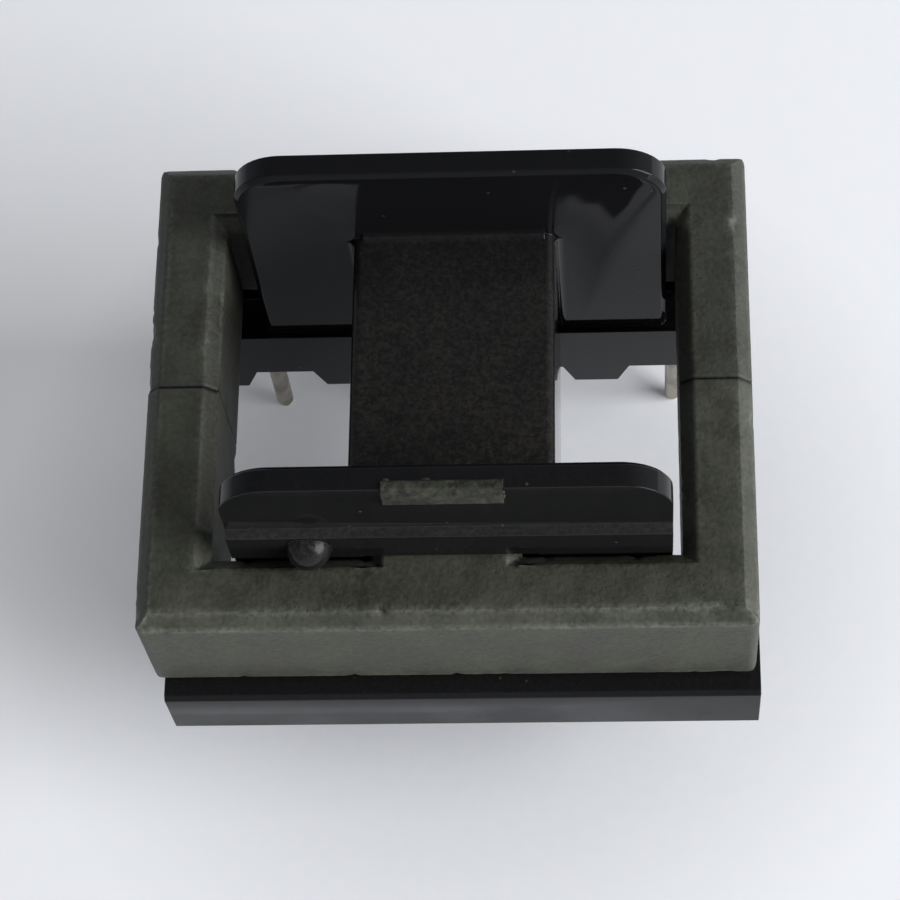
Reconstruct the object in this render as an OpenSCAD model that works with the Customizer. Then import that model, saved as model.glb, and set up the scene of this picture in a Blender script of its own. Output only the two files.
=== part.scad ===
// Pair of ferrite E-core halves closed around a moulded coil former without a winding.
// The former lies flat: its tube runs front to back round the centre legs, a flange
// closes each end of the tube, and a rail under each yoke carries one row of pins.
// Origin: centre of the pin pattern, on the plane of the stand-off feet (the board's
// face). X runs across the legs, Y along the tube, Z up. Sizes are in millimetres.

/* [Ferrite core] */
// Width over both outer legs
core_w = 19.1; // [18.6:0.1:20]
// Depth of one half, from the back of its yoke to the mating face
half_d = 8.1; // [7.9:0.05:9]
// Thickness of the core, floor to top
core_t = 5; // [4.4:0.1:5.6]
// Width of each outer leg
leg_w = 2.3; // [1.8:0.05:2.5]
// Width of the centre leg
centre_w = 4.7; // [4:0.05:4.8]
// Thickness of the yoke behind the window
yoke_t = 2.35; // [1.8:0.05:2.45]
// Chamfer along the pressed edges of the top and the bottom
core_edge = 0.45; // [0.1:0.05:0.7]
// Radius of the upright corners at the back of each yoke
core_corner_r = 0.3; // [0.1:0.05:0.6]
// Chamfer round the ground mating faces
mating_edge = 0.05; // [0.02:0.01:0.1]
// Sideways play: how far the core sits off the former's middle
core_offset = 0.2; // [0:0.05:0.25]

/* [Coil former tube] */
// Wall of the tube at its sides
tube_side_wall = 0.55; // [0.4:0.05:0.7]
// Wall of the tube at its top and its bottom
tube_wall = 0.7; // [0.45:0.05:0.9]
// Clearance on each side of the centre leg, which the core's play uses up in part
tube_side_clear = 0.3; // [0.28:0.01:0.4]
// Clearance above and below the centre leg
tube_clear = 0.1; // [0.05:0.01:0.15]
// Radius of the tube's long outer edges
tube_edge_r = 0.3; // [0.1:0.05:0.5]
// Radius of the fillet where the tube meets a flange
root_r = 0.3; // [0.1:0.05:0.4]

/* [Coil former flanges] */
// Gap between a flange's side edge and the leg beside it
flange_side = 0.5; // [0.35:0.05:1]
// Depth of the winding space: height of the flanges over the tube
wind_depth = 3.8; // [2.8:0.1:5]
// Thickness of each flange
flange_t = 0.85; // [0.6:0.05:1]
// Gap between a flange and the yoke behind it
flange_gap = 0.1; // [0.05:0.05:0.2]
// Radius of the flange's upper corners
flange_r = 1.6; // [0.8:0.1:2.5]
// Chamfer round the rim of a flange's inner face
rim_chamfer = 0.15; // [0.05:0.05:0.3]

/* [Front flange details] */
// Height of the lip that overhangs the edge of the front yoke
lip_h = 1.75; // [1.2:0.05:2.4]
// How far the lip stands out of the flange, its sloped top included
lip_out = 0.25; // [0.15:0.05:0.3]
// Gap between the lip and the top of the core
lip_gap = 0.05; // [0.03:0.01:0.1]
// Radius of the round locating nub
nub_r = 0.72; // [0.5:0.02:0.85]
// Place of the nub, left of the middle
nub_x = 4.3; // [3:0.1:5.2]
// Width of the mould gate's vestige at the flange's upper edge
gate_w = 3.6; // [1.5:0.1:5]
// Height of the gate vestige
gate_h = 1; // [0.4:0.1:1.4]
// How far the gate vestige stands proud
gate_out = 0.12; // [0.05:0.01:0.2]

/* [Pin rails] */
// How much shorter a rail is than the core is wide
rail_short = 0.1; // [0:0.05:0.3]
// How far a rail's outer face stands out past the back of its yoke
rail_past = 0.58; // [0.2:0.02:1.2]
// How far a rail's inner face stands inside the flange
rail_ledge = 0.25; // [0.1:0.05:0.5]
// Height of the core's seat above the feet
seat_z = 4.5; // [4.2:0.1:5]
// Height of the outer shelf's underside above the feet
shelf_z = 1.9; // [1.5:0.1:2.6]
// Wall of the beam outside its pins, measured from their axes
beam_wall = 1.25; // [0.8:0.05:1.6]
// Height of the beam's underside above the feet: the depth of the cut-outs
foot_h = 1.05; // [0.6:0.05:1.4]
// Chamfer along the outer upper edge of a rail
rail_edge = 0.15; // [0.05:0.05:0.4]
// How far the middle cut-out runs past the axes of the inner pins
cut_inner = 0.85; // [0.6:0.05:0.9]
// How far the outer cut-out runs from the end pin's axis towards the middle
cut_middle = 1.55; // [1:0.05:1.6]
// How far the outer cut-out runs past the end pin's axis
cut_outer = 0.4; // [0.4:0.05:0.8]
// Slope of the feet's ends, measured along the rail
foot_slope = 0.4; // [0.1:0.05:0.5]

/* [Pins] */
// Pin diameter
pin_d = 0.6; // [0.5:0.05:0.7]
// Distance from a rail's end to the axis of its end pin
pin_end = 2.45; // [2.2:0.05:2.7]
// Distance from a rail's inner face to the axes of its pins
pin_inset = 1.2; // [1:0.05:1.5]
// Length of the pins below the feet
pin_below = 3.9; // [3:0.1:5]
// Depth to which a pin is moulded into its beam
pin_embed = 2; // [1:0.1:2.3]
// Length of the tapered tip
pin_tip = 0.35; // [0.1:0.05:0.6]
// Diameter of a pin's thicker root, from the plane of the feet up into the beam
root_d = 0.7; // [0.65:0.05:0.8]
// Radial gap between a pin's root and its moulded hole
pin_fit = 0; // [0:0.005:0.02]

/* [Hidden] */
$fn = 48;
cut = 1;                                        // how far cutters run past a face
window_w = core_w - 2 * leg_w;                  // inside width between the outer legs
window_d = half_d - yoke_t;                     // window depth of one half
core_mid = seat_z + core_t / 2;                 // height of the core's middle plane
core_top = seat_z + core_t;
flange_out = window_d - flange_gap;             // outer face of a flange
flange_in = flange_out - flange_t;              // inner face of a flange
bore_w = centre_w + 2 * tube_side_clear;
bore_h = core_t + 2 * tube_clear;
tube_w = bore_w + 2 * tube_side_wall;           // outside width of the tube
tube_h = bore_h + 2 * tube_wall;                // outside height of the tube
flange_w = window_w - 2 * flange_side;
flange_top = core_mid + tube_h / 2 + wind_depth;
ledge_z = core_mid - tube_h / 2;                // ledge level with the tube's underside
rail_in = flange_in - rail_ledge;
rail_out = half_d + rail_past;
rail_w = core_w - rail_short;
row_y = rail_in + pin_inset;                    // half the distance between the rows
beam_out = row_y + beam_wall;
pin_pitch = (rail_w - 2 * pin_end) / 3;
foot_a = 0.5 * pin_pitch + cut_inner;           // inner foot, from foot_a to foot_b
foot_b = 1.5 * pin_pitch - cut_middle;
foot_c = 1.5 * pin_pitch + cut_outer;           // outer foot, from foot_c to the rail's end
pin_r = pin_d / 2;
root_pin_r = root_d / 2;
pin_tip_r = 0.55 * pin_r;
nub_y = flange_out + 0.2;
nub_z = core_top + lip_gap + nub_r;
ferrite = [0.27, 0.275, 0.25];
phenolic = [0.07, 0.07, 0.08];
tin = [0.72, 0.71, 0.68];

// ---------- helpers ----------

// Corner list of a rectangle about the origin with equal chamfers.
function chamfered(w, h, c) = [
    [-w / 2 + c, -h / 2], [w / 2 - c, -h / 2], [w / 2, -h / 2 + c], [w / 2, h / 2 - c],
    [w / 2 - c, h / 2], [-w / 2 + c, h / 2], [-w / 2, h / 2 - c], [-w / 2, -h / 2 + c]];

// Rectangle about the origin with round corners.
module round_rect(w, h, r) {
    square([w - 2 * r, h], center = true);
    square([w, h - 2 * r], center = true);
    for (sx = [-1, 1], sy = [-1, 1])
        translate([sx * (w / 2 - r), sy * (h / 2 - r)]) circle(r);
}

// Extrudes a section drawn in (Y, Z) along X, centred on X = 0.
module along_x(len) {
    rotate([90, 0, 90]) linear_extrude(len, center = true) children();
}

// Extrudes a section drawn in (X, Z) along Y, from y0 to y1.
module along_y(y0, y1) {
    translate([0, y1, 0]) rotate([90, 0, 0]) linear_extrude(y1 - y0) children();
}

// Pin position along its row, for pin number n from 1 to 4.
function pin_x(n) = (n - 2.5) * pin_pitch;

// ---------- ferrite halves ----------

// Plan of one half: three legs on a yoke, with the mating edges broken.
module half_plan() {
    w = core_w / 2;
    i = window_w / 2;
    c = centre_w / 2;
    e = mating_edge;
    intersection() {
        polygon([[-w + e, 0], [-w, e], [-w, half_d], [w, half_d], [w, e], [w - e, 0],
                 [i + e, 0], [i, e], [i, window_d], [c, window_d], [c, e], [c - e, 0],
                 [-c + e, 0], [-c, e], [-c, window_d], [-i, window_d], [-i, e], [-i - e, 0]]);
        round_rect(core_w, 2 * half_d, core_corner_r);
    }
}

// Side section of one half: chamfered at the back, just broken at the mating face.
module half_side() {
    h = core_t / 2;
    k = core_edge;
    e = mating_edge;
    polygon([[0, -h + e], [e, -h], [half_d - k, -h], [half_d, -h + k],
             [half_d, h - k], [half_d - k, h], [e, h], [0, h - e]]);
}

// Flare that chamfers the upper edges of one window.
module window_flare() {
    w = (window_w - centre_w) / 4;
    k = core_edge;
    f = window_d;
    intersection() {
        translate([(window_w + centre_w) / 4, 0, core_t / 2])
            along_y(-cut, half_d)
                polygon([[-w, -k], [w, -k], [w + k + cut, cut], [-w - k - cut, cut]]);
        translate([0, 0, core_t / 2])
            along_x(core_w)
                polygon([[-cut, -k], [f, -k], [f + k + cut, cut], [-cut, cut]]);
    }
}

// One pressed E half, its mating face on Y = 0 and its middle plane on Z = 0.
module e_half() {
    difference() {
        intersection() {
            linear_extrude(core_t, center = true) half_plan();
            along_y(-cut, half_d + cut) polygon(chamfered(core_w, core_t, core_edge));
            along_x(core_w + cut) half_side();
        }
        for (m = [0, 1], n = [0, 1])
            mirror([m, 0, 0]) mirror([0, 0, n]) window_flare();
    }
}

module core_rear() {
    color(ferrite)
        translate([-core_offset, 0, core_mid]) e_half();
}

module core_front() {
    color(ferrite)
        translate([-core_offset, 0, core_mid]) rotate([0, 0, 180]) e_half();
}

// ---------- coil former ----------

// Tube round the centre legs, its long edges rounded.
module tube() {
    translate([0, 0, core_mid])
        along_y(-flange_out, flange_out) round_rect(tube_w, tube_h, tube_edge_r);
}

// Concave fillet of radius root_r along X, in the corner of +Y and +Z.
module cove(len) {
    along_x(len) difference() {
        translate([-root_r, -root_r / 4]) square([root_r * 1.25, root_r * 1.25]);
        translate([-root_r, root_r]) circle(root_r);
    }
}

// Fillets on the four flats of the tube where it meets the rear flange.
module root_fillets() {
    flat_w = tube_w - 2 * tube_edge_r;
    flat_h = tube_h - 2 * tube_edge_r;
    translate([0, flange_in, core_mid]) {
        translate([0, 0, tube_h / 2]) cove(flat_w);
        for (s = [-1, 1])
            rotate([0, s * 90, 0]) translate([0, 0, tube_w / 2]) cove(flat_h);
    }
}

// Rear flange: round upper corners, and a chamfered rim on the inner face.
module flange() {
    r = flange_r;
    w = flange_w / 2;
    k = rim_chamfer;
    t = flange_t;
    h = flange_top;
    translate([0, flange_out, 0]) rotate([90, 0, 0]) {
        for (s = [-1, 1]) translate([s * (w - r), h - r, 0]) {
            cylinder(r = r, h = t - k);
            translate([0, 0, t - k]) cylinder(r1 = r, r2 = r - k, h = k);
        }
        rotate([0, 90, 0]) linear_extrude(2 * (w - r), center = true)
            polygon([[0, ledge_z - cut], [0, h], [-t + k, h], [-t, h - k], [-t, ledge_z - cut]]);
        translate([0, ledge_z - cut, 0]) rotate([-90, 0, 0]) mirror([0, 1, 0])
            linear_extrude(h - r - ledge_z + cut)
                polygon([[-w, 0], [w, 0], [w, t - k], [w - k, t], [-w + k, t], [-w, t - k]]);
    }
}

// One foot under the beam: it spans a to b at its root and narrows downwards.
module foot(a, b, slope_b) {
    along_y(rail_in, beam_out)
        polygon([[a, foot_h + cut / 2], [a, foot_h], [a + foot_slope, 0],
                 [b - slope_b, 0], [b, foot_h], [b, foot_h + cut / 2]]);
}

// Rear rail: seat for the yoke, ledge under the winding, beam with its feet and holes.
module rail() {
    difference() {
        union() {
            along_x(rail_w)
                polygon([[rail_in, foot_h], [beam_out, foot_h], [beam_out, shelf_z],
                         [rail_out, shelf_z], [rail_out, seat_z - rail_edge],
                         [rail_out - rail_edge, seat_z], [flange_out, seat_z],
                         [flange_out, ledge_z], [rail_in, ledge_z]]);
            for (m = [0, 1]) mirror([m, 0, 0]) {
                foot(foot_a, foot_b, foot_slope);
                foot(foot_c, rail_w / 2, 0);
            }
        }
        for (n = [1:4])
            translate([pin_x(n), row_y, -cut])
                cylinder(r = root_pin_r + pin_fit, h = foot_h + pin_embed + cut);
    }
}

// Lip on the outer face of the front flange, over the chamfered edge of the yoke.
module lip() {
    z0 = core_top + lip_gap;
    along_x(flange_w)
        polygon([[-flange_out + flange_t / 2, z0], [-flange_out - lip_out, z0],
                 [-flange_out - lip_out, z0 + lip_h - lip_out],
                 [-flange_out, z0 + lip_h], [-flange_out + flange_t / 2, z0 + lip_h]]);
}

// Vestige of the mould gate, straddling the upper outer edge of the front flange.
module gate_vestige() {
    y = -flange_out;
    z = flange_top;
    g = gate_out;
    along_x(gate_w)
        polygon([[y + 0.3, z - gate_h], [y, z - gate_h], [y - g, z - gate_h + g],
                 [y - g, z - 2 * g], [y, z + g / 2], [y + 0.25, z + g / 2], [y + 0.3, z - 0.1]]);
}

module coil_former() {
    color(phenolic)
        difference() {
            union() {
                tube();
                for (m = [0, 1]) mirror([0, m, 0]) {
                    flange();
                    rail();
                    root_fillets();
                }
                lip();
                gate_vestige();
                translate([-nub_x, -nub_y, nub_z]) sphere(nub_r);
            }
            translate([0, 0, core_mid])
                cube([bore_w, 2 * (flange_out + cut), bore_h], center = true);
        }
}

// ---------- pins ----------

// Round tinned pin: its taper at the lower end, its thicker root held by the beam.
module pin(n, side) {
    color(tin)
        translate([pin_x(n), side * row_y, -pin_below]) {
            cylinder(r1 = pin_tip_r, r2 = pin_r, h = pin_tip);
            translate([0, 0, pin_tip]) cylinder(r = pin_r, h = pin_below - pin_tip);
            translate([0, 0, pin_below]) cylinder(r = root_pin_r, h = foot_h + pin_embed);
        }
}

core_front();
core_rear();
coil_former();
pin(1, -1);  // pin_front_1
pin(2, -1);  // pin_front_2
pin(3, -1);  // pin_front_3
pin(4, -1);  // pin_front_4
pin(1, 1);  // pin_rear_1
pin(2, 1);  // pin_rear_2
pin(3, 1);  // pin_rear_3
pin(4, 1);  // pin_rear_4
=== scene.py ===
"""Looks of a pair of ferrite E-core halves closed round a moulded coil former.

Every length is worked out in millimetres and put into the meshes in metres, in the frame
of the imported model: origin in the middle of the pins on the plane of the feet, X across
the legs, Y along the tube, Z up.
"""

import logging
import math
from dataclasses import dataclass
from enum import Enum

import bmesh
import bpy
import numpy as np
from mathutils import Matrix, Vector


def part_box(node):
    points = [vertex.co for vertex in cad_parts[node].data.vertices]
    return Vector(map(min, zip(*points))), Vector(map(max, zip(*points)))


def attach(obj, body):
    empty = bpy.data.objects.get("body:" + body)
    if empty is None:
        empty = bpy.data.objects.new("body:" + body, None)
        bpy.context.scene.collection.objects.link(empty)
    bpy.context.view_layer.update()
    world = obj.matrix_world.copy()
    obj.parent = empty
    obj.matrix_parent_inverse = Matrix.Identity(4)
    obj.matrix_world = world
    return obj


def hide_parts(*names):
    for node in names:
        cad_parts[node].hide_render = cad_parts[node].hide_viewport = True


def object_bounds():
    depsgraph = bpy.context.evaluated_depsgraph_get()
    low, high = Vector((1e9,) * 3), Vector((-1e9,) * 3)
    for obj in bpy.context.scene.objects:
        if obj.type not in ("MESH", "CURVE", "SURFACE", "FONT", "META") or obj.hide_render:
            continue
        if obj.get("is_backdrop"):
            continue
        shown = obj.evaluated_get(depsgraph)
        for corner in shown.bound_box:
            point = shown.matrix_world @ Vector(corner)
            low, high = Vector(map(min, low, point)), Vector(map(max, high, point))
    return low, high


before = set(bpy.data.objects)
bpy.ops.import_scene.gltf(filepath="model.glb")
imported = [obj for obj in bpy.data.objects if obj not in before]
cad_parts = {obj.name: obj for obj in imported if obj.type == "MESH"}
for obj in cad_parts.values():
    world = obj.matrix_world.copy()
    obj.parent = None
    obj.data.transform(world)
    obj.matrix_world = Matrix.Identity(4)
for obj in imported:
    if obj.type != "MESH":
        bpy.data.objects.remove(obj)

LOG = logging.getLogger("e_core_former")
MM = 0.001
SHARP_DEG = 38.0  # faces that turn by more than this meet in a crisp edge
Array = np.ndarray
Socket = bpy.types.NodeSocket


class Slot(Enum):
    """Material slots of the record that the pieces take their finish from."""

    FERRITE = "ferrite"
    PHENOLIC = "phenolic"
    TIN = "tinned_wire"


class Side(Enum):
    """The two ends of the former; the value is the sign of Y there."""

    FRONT = -1
    REAR = 1


# ---------------------------------------------------------------- small tools


def tint(hex_colour: str) -> tuple[float, float, float, float]:
    """Turn an sRGB hex colour into linear RGBA.

    Each channel c is c / 12.92 up to 0.04045 and ((c + 0.055) / 1.055) ^ 2.4 above it.

    Args:
        hex_colour: Colour such as "#2b2c27".

    Returns:
        Linear red, green, blue and an alpha of 1.
    """
    srgb = [int(hex_colour[i:i + 2], 16) / 255 for i in (1, 3, 5)]
    linear = [c / 12.92 if c <= 0.04045 else ((c + 0.055) / 1.055) ** 2.4 for c in srgb]
    return (linear[0], linear[1], linear[2], 1.0)


def per_mm(size_mm: float) -> float:
    """Find the scale of a texture from the real size of its features.

    Args:
        size_mm: Width of a feature in mm.

    Returns:
        One over that width in metres, for coordinates in metres.
    """
    return 1.0 / (size_mm * MM)


def add(tree: bpy.types.NodeTree, kind: str, inputs: dict | None = None,
        **settings: object) -> bpy.types.Node:
    """Add a shader node with its settings, socket values and links.

    Args:
        tree: Node tree of the material or the world.
        kind: Blender's name of the node type.
        inputs: Socket name or number, and the value or the output socket that feeds it.
        **settings: Attributes of the node itself.

    Returns:
        The new node.
    """
    made = tree.nodes.new(kind)
    for name, value in settings.items():
        setattr(made, name, value)
    for name, value in (inputs or {}).items():
        if isinstance(value, Socket):
            tree.links.new(value, made.inputs[name])
        else:
            made.inputs[name].default_value = value
    return made


def ramp(tree: bpy.types.NodeTree, source: Socket, stops: list[tuple[float, object]]) -> Socket:
    """Turn a 0 to 1 value into a colour or a grey through a colour ramp.

    Args:
        tree: Node tree.
        source: Output socket that gives the value.
        stops: Position, and a hex colour or a grey level, for each stop.

    Returns:
        The ramp's colour output.
    """
    made = add(tree, "ShaderNodeValToRGB", {0: source})
    stops_at = made.color_ramp.elements
    while len(stops_at) < len(stops):
        stops_at.new(0.5)
    for stop, (place, value) in zip(stops_at, stops):
        stop.position = place
        stop.color = tint(value) if isinstance(value, str) else (value, value, value, 1.0)
    return made.outputs[0]


def noise(tree: bpy.types.NodeTree, where: Socket, size_mm: float, detail: float = 3.0,
          rough: float = 0.55) -> Socket:
    """Noise whose largest features are size_mm wide.

    Args:
        tree: Node tree.
        where: Coordinates in metres.
        size_mm: Width of the largest features.
        detail: Number of finer octaves.
        rough: How strong each finer octave is against the one before.

    Returns:
        The noise's value, about 0.2 to 0.8.
    """
    return add(tree, "ShaderNodeTexNoise", {"Vector": where, "Scale": per_mm(size_mm),
                                            "Detail": detail, "Roughness": rough}).outputs[0]


def blend(tree: bpy.types.NodeTree, factor: Socket | float, a: object, b: object) -> Socket:
    """Mix two colours.

    Args:
        tree: Node tree.
        factor: Share of b, a number or a socket.
        a: First colour, as hex or a socket.
        b: Second colour, as hex or a socket.

    Returns:
        The mixed colour.
    """
    colour = [tint(c) if isinstance(c, str) else c for c in (a, b)]
    inputs = {0: factor, 6: colour[0], 7: colour[1]}
    return add(tree, "ShaderNodeMix", inputs, data_type="RGBA").outputs[2]


def maths(tree: bpy.types.NodeTree, kind: str, a: object, b: object) -> Socket:
    """Combine two values, clamped to 0 to 1.

    Args:
        tree: Node tree.
        kind: Operation of the Math node.
        a: First value, a number or a socket.
        b: Second value, a number or a socket.

    Returns:
        The clamped result.
    """
    return add(tree, "ShaderNodeMath", {0: a, 1: b}, operation=kind, use_clamp=True).outputs[0]


def scaled(tree: bpy.types.NodeTree, value: Socket, factor: float, plus: float = 0.0) -> Socket:
    """Multiply a value and add to it, without a clamp: value * factor + plus.

    Args:
        tree: Node tree.
        value: The value to scale.
        factor: What it is multiplied by.
        plus: What is added afterwards.

    Returns:
        The result.
    """
    inputs = {0: value, 1: factor, 2: plus}
    return add(tree, "ShaderNodeMath", inputs, operation="MULTIPLY_ADD").outputs[0]


def axes(tree: bpy.types.NodeTree, vector: Socket) -> bpy.types.bpy_prop_collection:
    """Split a vector.

    Args:
        tree: Node tree.
        vector: The vector to split.

    Returns:
        Output sockets named X, Y and Z.
    """
    return add(tree, "ShaderNodeSeparateXYZ", {0: vector}).outputs


def new_finish(name: str) -> tuple[bpy.types.Material, bpy.types.NodeTree, Socket, Socket]:
    """Start an empty node material.

    Args:
        name: Name of the real finish.

    Returns:
        Material, its tree, Object coordinates, and the output's surface socket.
    """
    material = bpy.data.materials.new(name)
    material.use_nodes = True
    tree = material.node_tree
    tree.nodes.clear()
    where = add(tree, "ShaderNodeTexCoord").outputs["Object"]
    surface = add(tree, "ShaderNodeOutputMaterial").inputs["Surface"]
    return material, tree, where, surface


def cast(points: Array, size: float, seed: int) -> Array:
    """Value noise in three dimensions.

    The value at a point is the smooth blend, with weights t * t * (3 - 2 t) on each axis,
    of eight random numbers that a hash gives for the corners of its lattice cell.

    Args:
        points: Positions in mm, one row each.
        size: Width of a lattice cell in mm.
        seed: Whole number that picks the pattern.

    Returns:
        One value from 0 to 1 for each point.
    """
    cells = points / size + seed * 17.31
    base = np.floor(cells).astype(np.int64)
    t = cells - base
    t = t * t * (3 - 2 * t)
    total = np.zeros(len(points))
    for corner in range(8):
        step = np.array([corner & 1, corner >> 1 & 1, corner >> 2 & 1])
        at = base + step
        mixed = (at[:, 0] * 73856093) ^ (at[:, 1] * 19349663) ^ (at[:, 2] * 83492791) ^ (seed * 2654435)
        mixed = (mixed ^ (mixed >> 13)) * 1274126177
        value = ((mixed ^ (mixed >> 16)) & 0xFFFFF) / 0xFFFFF
        total += value * np.prod(np.where(step, t, 1 - t), axis=1)
    return total


def merged_copy(node: str) -> bmesh.types.BMesh:
    """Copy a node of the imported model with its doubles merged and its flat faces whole.

    Args:
        node: Name of the node.

    Returns:
        The copy, in metres.
    """
    shell = bmesh.new()
    shell.from_mesh(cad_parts[node].data)
    bmesh.ops.remove_doubles(shell, verts=shell.verts, dist=0.0004 * MM)
    bmesh.ops.dissolve_limit(shell, angle_limit=math.radians(0.4), verts=shell.verts, edges=shell.edges)
    return shell


def smooth(mesh: bpy.types.Mesh) -> None:
    """Shade a mesh smooth, apart from its edges over SHARP_DEG.

    Args:
        mesh: The mesh.
    """
    mesh.polygons.foreach_set("use_smooth", np.ones(len(mesh.polygons), bool))
    mesh.set_sharp_from_angle(angle=math.radians(SHARP_DEG))


def show(name: str, mesh: bpy.types.Mesh, finishes: list[bpy.types.Material]) -> bpy.types.Object:
    """Put a finished mesh into the scene on the root body.

    Args:
        name: Name of the piece.
        mesh: Its mesh, placed in metres.
        finishes: Its materials, in the order of the face indices.

    Returns:
        The new object, at the origin, unturned and unscaled.
    """
    mesh.materials.clear()
    for finish in finishes:
        mesh.materials.append(finish)
    piece = bpy.data.objects.new(name, mesh)
    bpy.context.scene.collection.objects.link(piece)
    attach(piece, "root")
    return piece


def dress_node(node: str, finish: bpy.types.Material) -> None:
    """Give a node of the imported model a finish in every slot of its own.

    Args:
        node: Name of the node.
        finish: The material.
    """
    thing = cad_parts[node]
    if not thing.material_slots:
        thing.data.materials.append(finish)
    for place in thing.material_slots:
        place.material = finish


# ---------------------------------------------------------------- finishes


@dataclass(frozen=True)
class SinteredFerrite:
    """Sintered manganese-zinc ferrite, pressed and fired, its faces left as fired.

    It gives the eye a matt dark stone with an olive cast, clouded in patches about a
    millimetre wide, with fine pale grains, small dark pores, and paler bruised edges.
    """

    name: str = "sintered_manganese_zinc_ferrite"
    deep: str = "#2a2a20"
    body: str = "#3d3e31"
    pale: str = "#4e5041"
    bruise: str = "#75776a"
    cloud_mm: float = 1.6
    grain_mm: float = 0.16
    pore_mm: float = 0.35
    dirt_mm: float = 0.16
    hollow: str = "#171814"
    dirt: str = "#0c0c0a"

    def make(self) -> bpy.types.Material:
        """Build the material.

        Returns:
            The finished material.
        """
        material, tree, where, surface = new_finish(self.name)
        clouds = noise(tree, where, self.cloud_mm, 4.0, 0.6)
        grain = noise(tree, where, self.grain_mm, 2.0, 0.6)
        pores = add(tree, "ShaderNodeTexVoronoi", {"Vector": where, "Scale": per_mm(self.pore_mm)})
        colour = ramp(tree, clouds, [(0.32, self.deep), (0.5, self.body), (0.68, self.pale)])
        grains = ramp(tree, grain, [(0.3, self.deep), (0.52, self.body), (0.75, self.pale)])
        colour = blend(tree, 0.45, colour, grains)
        hole = ramp(tree, pores.outputs[0], [(0.0, 1.0), (0.16, 0.0)])
        colour = blend(tree, maths(tree, "MULTIPLY", hole, 0.5), colour, self.hollow)
        # bruises: the attribute is high on knocked edges, and the grain breaks it up
        knocked = add(tree, "ShaderNodeAttribute", attribute_name="bruise").outputs["Fac"]
        broken = maths(tree, "MULTIPLY", knocked, ramp(tree, grain, [(0.35, 0.35), (0.6, 1.0)]))
        colour = blend(tree, broken, colour, self.bruise)
        # dirt in the joint: dark on the mating plane, gone about 0.08 mm away, ragged with the grain
        off = add(tree, "ShaderNodeMath", {0: axes(tree, where)["Y"]}, operation="ABSOLUTE").outputs[0]
        off = scaled(tree, off, per_mm(self.dirt_mm))
        off = maths(tree, "SUBTRACT", off, maths(tree, "MULTIPLY", grain, 0.35))
        colour = blend(tree, ramp(tree, off, [(0.0, 0.92), (0.35, 0.0)]), colour, self.dirt)
        height = maths(tree, "SUBTRACT", maths(tree, "MULTIPLY", grain, 0.8),
                       maths(tree, "MULTIPLY", hole, 0.4))
        relief = add(tree, "ShaderNodeBump", {"Strength": 0.8, "Distance": 0.03 * MM, "Height": height})
        shader = add(tree, "ShaderNodeBsdfPrincipled", {
            "Base Color": colour, "Roughness": ramp(tree, clouds, [(0.3, 0.52), (0.7, 0.7)]),
            "IOR": 1.6, "Specular IOR Level": 0.4, "Normal": relief.outputs[0]})
        tree.links.new(shader.outputs[0], surface)
        return material


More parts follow.
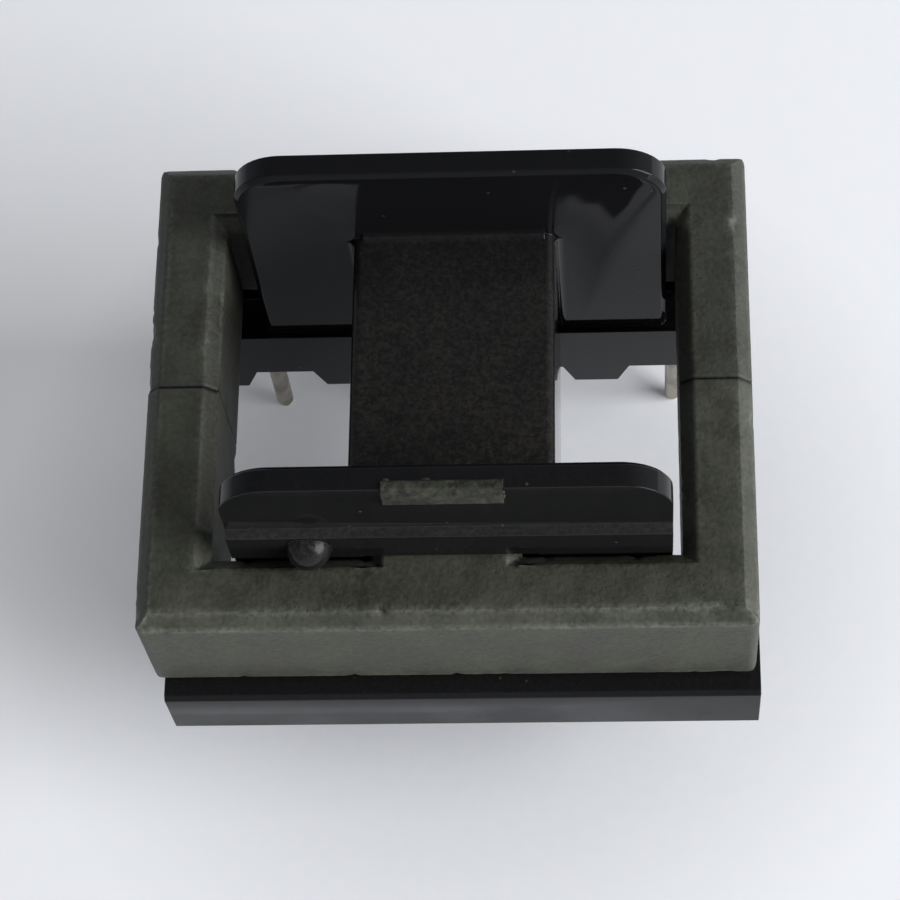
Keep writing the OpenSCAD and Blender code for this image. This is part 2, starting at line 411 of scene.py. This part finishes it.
@dataclass(frozen=True)
class MouldedPhenolic:
    """Black phenolic resin from a polished mould, with handling dust on it.

    It gives the eye near black with a clear reflection that wavers a little, a brownish
    film of dust on the sheltered faces that look up, made paler towards the front as a
    painted reflection, and a few pale specks.
    """

    name: str = "moulded_black_phenolic"
    level: float = 0.17
    gloss: tuple[float, float] = (0.05, 0.12)
    resin: str = "#171718"
    dust: str = "#5b574c"
    wave_mm: float = 2.2
    speck_mm: float = 0.42
    fine_mm: float = 0.14
    patch_mm: float = 3.1

    def make(self) -> bpy.types.Material:
        """Build the material.

        Returns:
            The finished material.
        """
        material, tree, where, surface = new_finish(self.name)
        wave = noise(tree, where, self.wave_mm, 2.0, 0.4)
        patch = noise(tree, where, self.patch_mm, 3.0, 0.6)
        specks = add(tree, "ShaderNodeTexVoronoi", {"Vector": where, "Scale": per_mm(self.speck_mm)})
        # a speck shows only in the cells whose random colour is over the limit
        lot = add(tree, "ShaderNodeSeparateColor", {0: specks.outputs[1]}).outputs[0]
        kept = maths(tree, "GREATER_THAN", lot, 0.93)
        dots = maths(tree, "MULTIPLY", ramp(tree, specks.outputs[0], [(0.05, 0.5), (0.16, 0.0)]), kept)
        # dust settles on what faces up
        upward = axes(tree, add(tree, "ShaderNodeNewGeometry").outputs["Normal"])["Z"]
        fine = ramp(tree, noise(tree, where, self.fine_mm, 4.0, 0.75), [(0.4, 0.14), (0.7, 1.0)])
        film = maths(tree, "MULTIPLY", fine, ramp(tree, patch, [(0.3, 0.25), (0.7, 0.55)]))
        film = maths(tree, "MULTIPLY", film, ramp(tree, upward, [(0.2, 0.12), (0.5, 0.45), (0.95, 0.8)]))
        # it stays on the sheltered tube and is wiped off the flange tops and the rails. It is
        #         # also made paler towards the front and fainter towards the rear, a painted reflection
        #         of the
        #         # brighter light there. The height counts in units of 16 mm; the depth is 1 at 5.5 mm
        #         in
        #         # front of the middle and 0 as far behind it
        height = scaled(tree, axes(tree, where)["Z"], per_mm(16.0))
        depth = scaled(tree, axes(tree, where)["Y"], per_mm(-11.0), 0.5)
        shelter = ramp(tree, height, [(0.5, 0.2), (0.56, 1.0), (0.8, 1.0), (0.84, 0.15)])
        film = maths(tree, "MULTIPLY", film, shelter)
        film = maths(tree, "MULTIPLY", film, ramp(tree, depth, [(0.0, 0.3), (0.5, 0.85), (1.0, 1.0)]))
        dust_and_sheen = maths(tree, "MAXIMUM", dots, film)
        # the colour carries the real dust and the painted reflection towards the front
        colour = blend(tree, dust_and_sheen, self.resin, self.dust)
        relief = add(tree, "ShaderNodeBump", {"Strength": 0.12, "Distance": 0.01 * MM, "Height": wave})
        relief = add(tree, "ShaderNodeBump", {"Strength": 0.5, "Distance": 0.02 * MM, "Height": dust_and_sheen,
                                              "Normal": relief.outputs[0]})
        polish = ramp(tree, patch, [(0.35, self.gloss[0]), (0.7, self.gloss[1])])
        gloss = blend(tree, dust_and_sheen, polish, "#d0d0d0")
        shader = add(tree, "ShaderNodeBsdfPrincipled", {
            "Base Color": colour, "Roughness": gloss, "IOR": 1.5, "Specular IOR Level": self.level,
            "Normal": relief.outputs[0]})
        tree.links.new(shader.outputs[0], surface)
        return material


@dataclass(frozen=True)
class TornPhenolic:
    """Phenolic where the gate was broken off, so its grey-olive filler is bare.

    It gives the eye a rough, dry patch that is much paler than the moulded skin.
    """

    filler: str = "#3b3c32"
    shade: str = "#20201c"
    crumb: str = "#525346"
    crumb_mm: float = 0.28

    def make(self) -> bpy.types.Material:
        """Build the material.

        Returns:
            The finished material.
        """
        material, tree, where, surface = new_finish("torn_phenolic_filler")
        crumbs = noise(tree, where, self.crumb_mm, 4.0, 0.65)
        colour = ramp(tree, crumbs, [(0.34, self.shade), (0.55, self.filler), (0.75, self.crumb)])
        relief = add(tree, "ShaderNodeBump", {"Strength": 0.9, "Distance": 0.05 * MM, "Height": crumbs})
        shader = add(tree, "ShaderNodeBsdfPrincipled", {
            "Base Color": colour, "Roughness": 0.75, "IOR": 1.5, "Specular IOR Level": 0.25,
            "Normal": relief.outputs[0]})
        tree.links.new(shader.outputs[0], surface)
        return material


@dataclass(frozen=True)
class TinnedWire:
    """Copper-clad wire with a hot-dipped tin coat, drawn lengthwise before it was cut.

    It gives the eye a warm satin silver with lengthwise streaks and duller tarnish.
    """

    tin: str = "#aaa599"
    tarnish: str = "#776f63"
    streak_mm: float = 0.12
    stain_mm: float = 0.9

    def make(self) -> bpy.types.Material:
        """Build the material.

        Returns:
            The finished material.
        """
        material, tree, where, surface = new_finish("hot_dipped_tin_on_wire")
        drawn = add(tree, "ShaderNodeMapping", {"Vector": where, "Scale": (1.0, 1.0, 0.12)}).outputs[0]
        streaks = noise(tree, drawn, self.streak_mm, 3.0)
        stains = noise(tree, where, self.stain_mm, 3.0)
        colour = blend(tree, ramp(tree, stains, [(0.42, 0.0), (0.7, 0.8)]), self.tin, self.tarnish)
        relief = add(tree, "ShaderNodeBump", {"Strength": 0.4, "Distance": 0.01 * MM, "Height": streaks})
        shader = add(tree, "ShaderNodeBsdfPrincipled", {
            "Base Color": colour, "Metallic": 1.0,
            "Roughness": ramp(tree, streaks, [(0.3, 0.26), (0.7, 0.46)]), "Normal": relief.outputs[0]})
        tree.links.new(shader.outputs[0], surface)
        return material


@dataclass(frozen=True)
class WhitePaper:
    """Uncoated white paper: a plain pale sheet with a very faint tooth.

    It gives the eye a clean white round the object. Camera, glossy and transmission rays
    see a lift that grows with the distance from the object, and diffuse rays don't.
    """

    sheet: str = "#f2f2f1"
    shade: str = "#e9eaea"
    tooth_mm: float = 0.5
    lift: float = 0.2
    reach_mm: float = 32.0

    def make(self) -> bpy.types.Material:
        """Build the material.

        Returns:
            The finished material.
        """
        material, tree, where, surface = new_finish("uncoated_white_paper")
        tooth = noise(tree, where, self.tooth_mm, 3.0)
        colour = blend(tree, ramp(tree, tooth, [(0.3, 0.0), (0.7, 0.25)]), self.sheet, self.shade)
        shader = add(tree, "ShaderNodeBsdfPrincipled", {
            "Base Color": colour, "Roughness": 0.9, "Specular IOR Level": 0.2})
        # distance from the middle over reach_mm: no lift within 8 mm, all of it past 18 mm
        away = add(tree, "ShaderNodeVectorMath", {0: where}, operation="LENGTH").outputs["Value"]
        away = scaled(tree, away, per_mm(self.reach_mm))
        ray = add(tree, "ShaderNodeLightPath").outputs
        seen = maths(tree, "MAXIMUM", ray["Is Camera Ray"], ray["Is Glossy Ray"])
        seen = maths(tree, "MAXIMUM", seen, ray["Is Transmission Ray"])
        seen = maths(tree, "MULTIPLY", seen, ramp(tree, away, [(0.26, 0.0), (0.56, self.lift)]))
        tree.links.new(seen, shader.inputs["Emission Strength"])
        tree.links.new(shader.outputs[0], surface)
        return material


# ---------------------------------------------------------------- the object


@dataclass
class FerriteHalf:
    """One pressed and fired E half, its surface pitted and its edges knocked.

    Attributes:
        side: Which end of the former it closes.
        pitch_mm: Spacing of the lattice that its faces are cut on.
        tooth_mm: Depth of the fired skin's unevenness.
        chip_mm: Depth of the deepest edge chips.
        chip_reach_mm: How far a chip reaches from the edge.
        lip_mm: How far a sharp edge itself is worn back.
        lip_reach_mm: How far that wear reaches from the edge.
        seed: Picks the pattern of chips.
    """

    side: Side
    pitch_mm: float = 0.16
    tooth_mm: float = 0.012
    chip_mm: float = 0.13
    chip_reach_mm: float = 0.2
    lip_mm: float = 0.012
    lip_reach_mm: float = 0.08
    seed: int = 1

    @property
    def node(self) -> str:
        """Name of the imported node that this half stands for."""
        return f"core_{self.side.name.lower()}"

    def sharp_edges(self, shell: bmesh.types.BMesh) -> tuple[Array, Array]:
        """Pick the edges whose faces turn by more than 20 degrees.

        Args:
            shell: The half.

        Returns:
            First and second ends in mm, one row each.
        """
        limit = math.radians(20)
        picked = [e for e in shell.edges if len(e.link_faces) == 2 and e.calc_face_angle(0) > limit]
        ends = np.array([[*e.verts[0].co, *e.verts[1].co] for e in picked]) / MM
        return ends[:, :3], ends[:, 3:]

    def cut_lattice(self, shell: bmesh.types.BMesh) -> None:
        """Cut every face on planes pitch_mm apart along X, Y and Z, so it can be weathered.

        Args:
            shell: The half, cut in place.
        """
        low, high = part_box(self.node)
        for axis in range(3):
            normal = Vector([float(axis == i) for i in range(3)])
            count = round((high[axis] - low[axis]) / (self.pitch_mm * MM))
            for place in np.linspace(low[axis], high[axis], count + 1)[1:-1]:
                bmesh.ops.bisect_plane(shell, geom=shell.verts[:] + shell.edges[:] + shell.faces[:],
                                       dist=1e-9, plane_co=normal * (place + 1.3e-6), plane_no=normal)

    def edge_distance(self, points: Array, a: Array, b: Array) -> Array:
        """Distance in mm from each point to the nearest of the segments a to b.

        For one segment it is |p - a - t (b - a)|, where t is the share of the way along
        the segment to the foot of the perpendicular, kept between 0 and 1.

        Args:
            points: Positions in mm.
            a: First ends in mm.
            b: Second ends in mm.

        Returns:
            One distance for each point.
        """
        nearest = np.full(len(points), 9.0)
        for start, end in zip(a, b):
            along = end - start
            t = np.clip((points - start) @ along / max(along @ along, 1e-12), 0, 1)
            nearest = np.minimum(nearest, np.linalg.norm(points - start - t[:, None] * along, axis=1))
        return nearest

    def weather(self, mesh: bpy.types.Mesh, a: Array, b: Array) -> None:
        """Move the vertices inwards for tooth and chips, and store the bruise attribute.

        The depth is (tooth * noise + chip * (excess of a coarse noise over its limit) *
        exp(-(d / chip_reach) ^ 2)) * seam + lip * exp(-(d / lip_reach) ^ 2). Here d is the
        distance to the nearest sharp edge, and seam falls to 0 on the mating plane.

        Args:
            mesh: The cut mesh, in metres.
            a: First ends of the sharp edges, in mm.
            b: Second ends of the sharp edges, in mm.
        """
        count = len(mesh.vertices)
        flat = np.empty(count * 3, np.float32)
        mesh.vertices.foreach_get("co", flat)
        points = flat.reshape(-1, 3).astype(float) / MM
        normals = np.empty(count * 3, np.float32)
        mesh.vertices.foreach_get("normal", normals)
        normals = normals.reshape(-1, 3).astype(float)
        apart = self.edge_distance(points, a, b)
        near = np.exp(-(apart / self.chip_reach_mm) ** 2)
        coarse = 0.65 * cast(points, 0.7, self.seed) + 0.35 * cast(points, 0.25, self.seed + 5)
        chips = np.clip((coarse - 0.66) / 0.2, 0, 1) * near
        skin = 0.6 * cast(points, 0.45, self.seed + 9) + 0.4 * cast(points, 0.19, self.seed + 11)
        seam = np.clip(np.abs(points[:, 1]) / 0.12, 0, 1)
        lip = self.lip_mm * np.exp(-(apart / self.lip_reach_mm) ** 2)
        depth = (self.tooth_mm * skin + self.chip_mm * chips) * seam + lip
        moved = (points - normals * depth[:, None]) * MM
        mesh.vertices.foreach_set("co", moved.astype(np.float32).ravel())
        # the upper edge at the back of the front yoke is the most knocked, the seam the least
        front = np.exp(-((points[:, 1] + 7.9) / 0.5) ** 2) * np.clip((points[:, 2] - 8.6) / 0.4, 0, 1)
        patchy = cast(points * [1, 2, 2], 0.9, self.seed + 21)
        line = np.exp(-(apart / 0.1) ** 2) * (0.12 + 0.25 * coarse + 0.5 * front * patchy)
        away = np.clip((np.abs(points[:, 1]) - 0.2) / 0.4, 0, 1)
        bruise = np.clip((line + 0.3 * chips) * away + 0.3 * front * np.clip(patchy - 0.35, 0, 1), 0, 1)
        bruises = mesh.attributes.new("bruise", "FLOAT", "POINT").data
        bruises.foreach_set("value", bruise.astype(np.float32))
        mesh.update()

    def build(self, finish: bpy.types.Material) -> bpy.types.Object:
        """Build the half and put it in the place of its node.

        Args:
            finish: The ferrite.

        Returns:
            The new object.
        """
        shell = merged_copy(self.node)
        a, b = self.sharp_edges(shell)
        self.cut_lattice(shell)
        name = f"ferrite_half_{self.side.name.lower()}"
        mesh = bpy.data.meshes.new(name)
        shell.to_mesh(mesh)
        shell.free()
        self.weather(mesh, a, b)
        smooth(mesh)
        piece = show(name, mesh, [finish])
        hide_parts(self.node)
        return piece


@dataclass
class CoilFormer:
    """The one-piece moulded former: tube, two flanges and two pin rails.

    Attributes:
        break_mm: Radius of the small rounding that the mould leaves on its edges.
        flange_face_mm: Y of the front flange's outer face beside the gate.
        scar_step_mm: Spacing of the grid of the torn gate.
        scar_w_mm: Width of the torn gate along X.
        scar_wear_mm: How far noise wears its surface inwards.
        scar_rag_mm: How far its lower margin climbs and falls.
    """

    break_mm: float = 0.035
    flange_face_mm: float = -5.65
    scar_step_mm: float = 0.04
    scar_w_mm: float = 3.75
    scar_wear_mm: float = 0.11
    scar_rag_mm: float = 0.32

    @property
    def top(self) -> float:
        """Height of the gate vestige, which is the highest point of the former, in mm."""
        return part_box("coil_former")[1].z / MM

    def gate_scar(self, finish: bpy.types.Material) -> bpy.types.Object:
        """Lay the torn skin of the mould gate over its vestige on the front flange.

        The skin is a closed section carried along X. The section follows the vestige's
        four outer faces and returns inside the flange; it shrinks to a point at both ends
        by the square root of sin(pi u), and noise wears its outer side inwards.

        Args:
            finish: The bare filler.

        Returns:
            The new object.
        """
        top = self.top
        # Y outwards from the flange's face and Z down from the top, in mm
        outer = [[0.06, -1.14], [-0.07, -1.05], [-0.13, -0.9], [-0.12, -0.2], [-0.02, -0.03], [0.2, 0.0],
                 [0.42, -0.05]]
        inner = [[0.4, -0.2], [0.09, -0.3], [0.09, -1.1]]
        loop = np.array(outer + inner + outer[:1]) + [self.flange_face_mm, top]
        run = np.concatenate([[0.0], np.cumsum(np.linalg.norm(np.diff(loop, axis=0), axis=1))])
        around = np.linspace(0, run[-1], round(run[-1] / self.scar_step_mm) + 1)[:-1]
        section = np.stack([np.interp(around, run, side) for side in loop.T], axis=1)
        u = np.linspace(0, 1, round(self.scar_w_mm / self.scar_step_mm) + 1)
        middle = section.mean(axis=0)
        swell = np.clip(np.sin(np.pi * u) * 9, 0, 1)[:, None, None] ** 0.5
        spots = np.empty((len(u), len(around), 3))
        spots[:, :, 0] = ((u - 0.5) * self.scar_w_mm)[:, None]
        spots[:, :, 1:] = middle + (section[None] - middle) * swell
        flat = spots.reshape(-1, 3)
        worn = 0.6 * cast(flat, 0.34, 41) + 0.4 * cast(flat, 0.12, 43)
        inward = middle - flat[:, 1:]
        inward /= np.maximum(np.linalg.norm(inward, axis=1), 1e-6)[:, None]
        flat[:, 1:] += inward * (self.scar_wear_mm * worn)[:, None]
        # the lower margin is ragged: it climbs and falls along X
        low_part = np.clip((top - 0.55 - flat[:, 2]) / 0.5, 0, 1)
        flat[:, 2] += self.scar_rag_mm * low_part * cast(flat * [1, 0, 0] + [7.3, 0, 0], 0.55, 47)
        flat[:, 2] = np.minimum(flat[:, 2], top - 0.005)
        ring = len(around)
        i, j = np.meshgrid(np.arange(len(u) - 1), np.arange(ring), indexing="ij")
        k = (j + 1) % ring
        quads = np.stack([i * ring + j, i * ring + k, (i + 1) * ring + k, (i + 1) * ring + j], axis=-1)
        mesh = bpy.data.meshes.new("gate_scar")
        mesh.from_pydata((flat * MM).tolist(), [], quads.reshape(-1, 4).tolist())
        shell = bmesh.new()
        shell.from_mesh(mesh)
        bmesh.ops.remove_doubles(shell, verts=shell.verts, dist=0.0005 * MM)
        bmesh.ops.recalc_face_normals(shell, faces=shell.faces)
        shell.to_mesh(mesh)
        shell.free()
        mesh.polygons.foreach_set("use_smooth", np.ones(len(mesh.polygons), bool))
        return show("gate_scar", mesh, [finish])

    def zone_faces(self, mesh: bpy.types.Mesh) -> None:
        """Give the rails' outer walls finish 1 and the gate vestige finish 2.

        Args:
            mesh: The former's mesh, in metres.
        """
        spots = np.empty(3 * len(mesh.polygons))
        mesh.polygons.foreach_get("center", spots)
        x, y, z = np.reshape(spots, (-1, 3)).T / MM
        walls = np.abs(y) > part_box("coil_former")[1].y / MM - 0.02
        gate = (np.abs(x) < self.scar_w_mm / 2 - 0.025) & (z > self.top - 1.1)
        gate &= y < self.flange_face_mm + 0.35
        proud = (y < self.flange_face_mm - 0.01) | (z > self.top - 0.055)
        mesh.polygons.foreach_set("material_index", (walls + 2 * (gate & proud)).astype(np.int32))

    def build(self, resin: bpy.types.Material, dull: bpy.types.Material,
              torn: bpy.types.Material) -> bpy.types.Object:
        """Build the former and put it in the place of its node.

        Args:
            resin: The moulded skin.
            dull: The duller skin of the rails' outer walls.
            torn: The bare filler of the gate vestige.

        Returns:
            The new object.
        """
        shell = merged_copy("coil_former")
        mesh = bpy.data.meshes.new("coil_former_moulding")
        shell.to_mesh(mesh)
        shell.free()
        piece = show("coil_former_moulding", mesh, [resin, dull, torn])
        self.zone_faces(mesh)
        rounding = piece.modifiers.new("mould_edge", "BEVEL")
        rounding.width = self.break_mm * MM
        rounding.segments = 2
        rounding.limit_method = "ANGLE"
        rounding.angle_limit = math.radians(SHARP_DEG)
        rounding.use_clamp_overlap = False
        rounding.harden_normals = True
        smooth(mesh)
        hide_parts("coil_former")
        return piece


@dataclass
class PinRow:
    """One row of tinned pins under a rail.

    Attributes:
        side: Which rail carries the row.
        count: Number of pins in it.
    """

    side: Side
    count: int = 4

    def build(self, finish: bpy.types.Material) -> list[str]:
        """Dress the pins of the row.

        Args:
            finish: The tinned wire.

        Returns:
            Their names.
        """
        names = [f"pin_{self.side.name.lower()}_{n}" for n in range(1, self.count + 1)]
        for name in names:
            dress_node(name, finish)
        return names


# ---------------------------------------------------------------- the studio


@dataclass
class Studio:
    """White paper under the object, a soft lamp from the right and a pale room.

    Attributes:
        paper_z_mm: Height of the paper, at the tips of the pins.
        lens_mm: Focal length for a 36 mm sensor.
        eye_mm: Place of the camera.
        turn_deg: Azimuth, elevation and roll of the camera.
        walls: Colour of the room near the horizon.
        ceiling: Colour of the room overhead.
    """

    paper_z_mm: float
    lens_mm: float = 114.96
    eye_mm: tuple[float, float, float] = (5.629, -38.972, 90.637)
    turn_deg: tuple[float, float, float] = (8.865, 65.441, -8.991)
    walls: str = "#a9adb3"
    ceiling: str = "#595b62"

    def camera(self) -> None:
        """Make the camera from its place, azimuth, elevation and roll.

        The backward axis is (sin az cos el, -cos az cos el, sin el), the level right axis
        is (cos az, sin az, 0), and right and up then turn about the backward axis by the roll.
        """
        az, el, roll = (math.radians(v) for v in self.turn_deg)
        back = Vector((math.sin(az) * math.cos(el), -math.cos(az) * math.cos(el), math.sin(el)))
        level = Vector((math.cos(az), math.sin(az), 0.0))
        steep = back.cross(level)
        right = level * math.cos(roll) + steep * math.sin(roll)
        up = steep * math.cos(roll) - level * math.sin(roll)
        data = bpy.data.cameras.new("camera")
        data.sensor_width = 36.0
        data.lens = self.lens_mm
        data.clip_start, data.clip_end = 0.001, 20.0
        eye = bpy.data.objects.new("camera", data)
        bpy.context.scene.collection.objects.link(eye)
        turn = Matrix((right, up, back)).transposed().to_4x4()
        eye.matrix_world = Matrix.Translation(Vector(self.eye_mm) * MM) @ turn
        bpy.context.scene.camera = eye

    def paper(self, finish: bpy.types.Material) -> None:
        """Lay the sheet of paper, marked as stage.

        Args:
            finish: The paper.
        """
        half, z = 3.0, self.paper_z_mm * MM
        mesh = bpy.data.meshes.new("paper")
        corners = [(-half, -half, z), (half, -half, z), (half, half, z), (-half, half, z)]
        mesh.from_pydata(corners, [], [(0, 1, 2, 3)])
        mesh.materials.append(finish)
        sheet = bpy.data.objects.new("paper", mesh)
        bpy.context.scene.collection.objects.link(sheet)
        sheet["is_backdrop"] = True

    def lamp(self, name: str, azimuth: float, elevation: float, distance: float, size: float,
             power: float, colour: str) -> None:
        """Hang one square soft lamp that faces the object.

        Args:
            name: Name of the lamp.
            azimuth: Degrees from +X towards +Y.
            elevation: Degrees above the paper.
            distance: Metres from the origin.
            size: Side of the lamp in metres.
            power: Watts.
            colour: sRGB hex colour.
        """
        data = bpy.data.lights.new(name, "AREA")
        data.size, data.energy = size, power
        data.color = tint(colour)[:3]
        a, e = math.radians(azimuth), math.radians(elevation)
        place = Vector((math.cos(a) * math.cos(e), math.sin(a) * math.cos(e), math.sin(e))) * distance
        hung = bpy.data.objects.new(name, data)
        bpy.context.scene.collection.objects.link(hung)
        hung.rotation_mode = "QUATERNION"
        hung.rotation_quaternion = place.to_track_quat("Z", "Y")
        hung.location = place

    def room(self) -> None:
        """Set the light of the room: pale walls that turn darker towards the ceiling."""
        world = bpy.data.worlds.new("room")
        bpy.context.scene.world = world
        world.use_nodes = True
        tree = world.node_tree
        tree.nodes.clear()
        way = add(tree, "ShaderNodeTexCoord").outputs["Generated"]
        colour = ramp(tree, axes(tree, way)["Z"], [(0.35, self.walls), (0.86, self.ceiling)])
        light = add(tree, "ShaderNodeBackground", {"Color": colour, "Strength": 1.0})
        add(tree, "ShaderNodeOutputWorld", {"Surface": light.outputs[0]})

    def build(self) -> None:
        """Make the camera, the paper and the lights."""
        self.camera()
        self.paper(WhitePaper().make())
        self.lamp("window_lamp", azimuth=-19.0, elevation=25.0, distance=0.4, size=0.3, power=2.45,
                  colour="#f6f8ff")
        self.room()
        bpy.context.scene.view_settings.view_transform = "Standard"


def main() -> None:
    """Build the object piece by piece, then the studio."""
    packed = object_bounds()
    Studio(paper_z_mm=packed[0].z / MM).build()
    resin = MouldedPhenolic().make()
    dull = MouldedPhenolic("moulded_black_phenolic_dull", level=0.055, gloss=(0.16, 0.3)).make()
    torn, tin = TornPhenolic().make(), TinnedWire().make()
    # painted shade: the rear half gets a darker copy of the ferrite, which stands in for the dimmer
    # light at the rear
    ferrite_rear_shaded = {Side.FRONT: SinteredFerrite(),
               Side.REAR: SinteredFerrite("sintered_manganese_zinc_ferrite_darker", deep="#26261d",
                                          body="#37382d", pale="#47493c", bruise="#6c6e62")}
    for seed, side in enumerate(Side):
        piece = FerriteHalf(side, seed=3 + 7 * seed).build(ferrite_rear_shaded[side].make())
        LOG.info("%s: %d faces", piece.name, len(piece.data.polygons))
    former = CoilFormer()
    for piece in (former.build(resin, dull, torn), former.gate_scar(torn)):
        LOG.info("%s: %d faces", piece.name, len(piece.data.polygons))
    for side in Side:
        LOG.info("pins: %s", ", ".join(PinRow(side).build(tin)))


if __name__ == "__main__":
    logging.basicConfig(level=logging.INFO, format="%(name)s: %(message)s")
    main()
